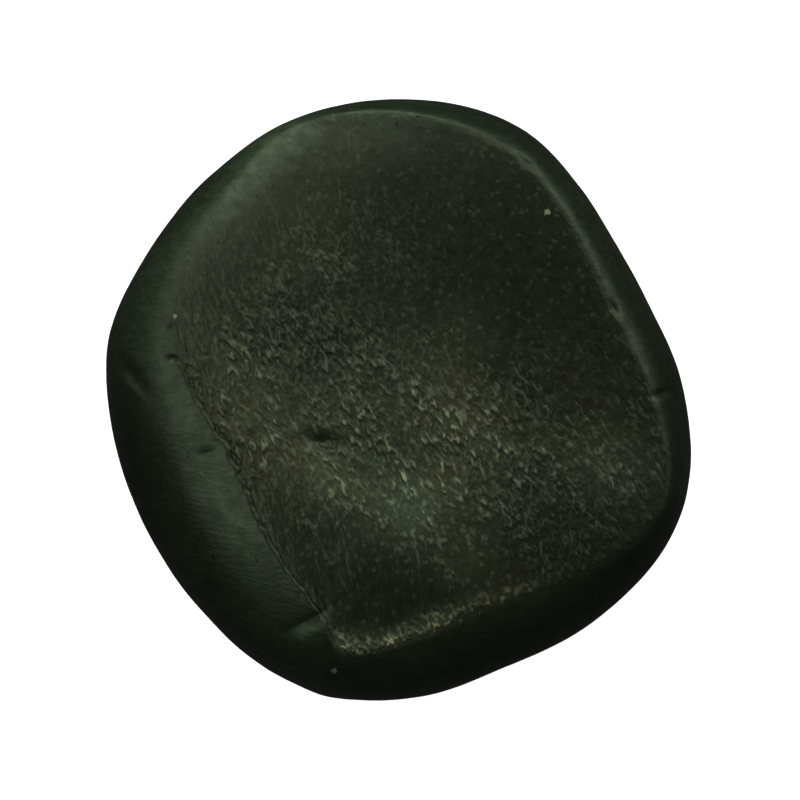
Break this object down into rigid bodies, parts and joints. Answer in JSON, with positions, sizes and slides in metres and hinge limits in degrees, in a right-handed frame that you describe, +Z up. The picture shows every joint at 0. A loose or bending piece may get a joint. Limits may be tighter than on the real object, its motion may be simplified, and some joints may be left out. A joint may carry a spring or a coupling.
{
  "type": "massage stone",
  "caption": "Palm-size basalt massage stone: a rounded dark green-black pebble with a broad, slightly sloping ground top, a smooth shoulder beside it and a flat seat below.",
  "frame": {"origin": "centre of the bounding box in plan, at the height of the flat seat", "axes": "+Z up from the seat to the ground top; +Y along the longest extent, towards the side where the ground top runs out to the outline; +X towards the narrow flank"},
  "size_m": [0.062, 0.0638, 0.0239],
  "materials": {
    "basalt": "satin where it is polished, matt on the ground top"
  },
  "bodies": {
    "root": {"basalt_stone": "basalt"}
  },
  "joints": []
}
